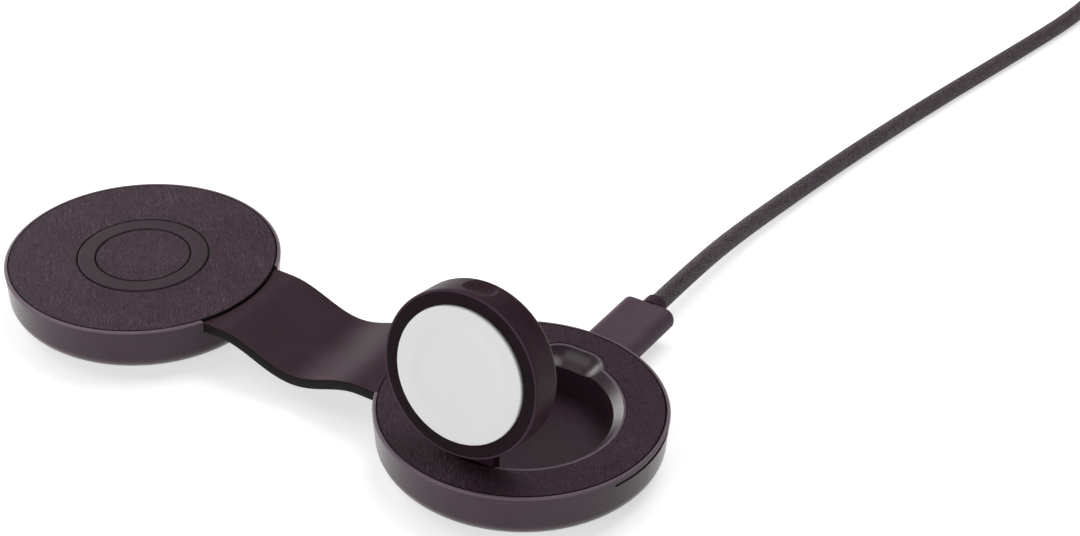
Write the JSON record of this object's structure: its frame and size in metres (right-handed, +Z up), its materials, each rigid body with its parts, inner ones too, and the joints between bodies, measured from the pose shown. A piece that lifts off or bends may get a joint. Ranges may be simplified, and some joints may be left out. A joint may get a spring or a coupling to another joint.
{
  "type": "two-in-one wireless charger",
  "caption": "Folding wireless charger: a round leather-faced phone pad joined by a soft strap to a round base with a pocket and a hinged watch puck, with a braided USB-C cable.",
  "frame": {"origin": "on the table, midway between the centres of the two discs", "axes": "+X from the phone pad to the watch base, +Y towards the cable plug, +Z up"},
  "size_m": [0.2184, 0.3449, 0.0496],
  "materials": {
    "housing": "satin moulded plastic, plum",
    "leather": "fine-grained leather, plum",
    "grip": "smooth soft ring, dark grey",
    "strap": "matte soft rubber, plum",
    "bezel": "satin plastic, near black",
    "cap": "white satin-gloss face",
    "foot": "soft matte foot",
    "steel": "plain steel",
    "copper": "enamelled copper winding",
    "ferrite": "sintered ferrite or magnet",
    "board": "circuit board with parts",
    "lead": "flat polyimide lead",
    "braid": "braided sleeve, plum",
    "tie": "woven tie"
  },
  "bodies": {
    "base": {"strap": "strap", "strap_lead": "lead", "base_housing": "housing", "pocket_liner": "housing", "base_leather_ring": "leather", "base_board": "board", "base_screws": "steel", "usb_receptacle": "steel", "base_foot": "foot", "hinge_pin": "steel", "hinge_washers": "steel", "plug_shell": "steel", "plug_body": "housing", "plug_collar": "housing", "cord": "braid", "cord_coil": "braid", "cord_tie": "tie", "cord_tail": "braid", "far_plug_shell": "steel", "far_plug_body": "housing", "far_plug_collar": "housing"},
    "pad": {"pad_housing": "housing", "pad_deck": "housing", "pad_leather_ring": "leather", "pad_grip_ring": "grip", "pad_leather_centre": "leather", "alignment_magnets": "ferrite", "phone_coil": "copper", "phone_shield": "ferrite", "pad_board": "board", "pad_screws": "steel", "pad_foot": "foot"},
    "puck": {"puck_shell": "housing", "puck_bezel": "bezel", "puck_cap": "cap", "puck_board": "board", "watch_shield": "ferrite", "watch_coil": "copper", "watch_magnet": "steel"}
  },
  "joints": [
    {"name": "strap_fold", "type": "hinge", "parent": "base", "child": "pad", "pos_m": [0, 0, 0.00645], "axis": [0, 1, 0], "range_deg": [0, 120], "deforming": ["strap", "strap_lead"]},
    {"name": "puck_flip", "type": "hinge", "parent": "base", "child": "puck", "pos_m": [0.0483, -0.0235, 0.0094], "axis": [1, 0, 0], "range_deg": [-80, 0]}
  ]
}
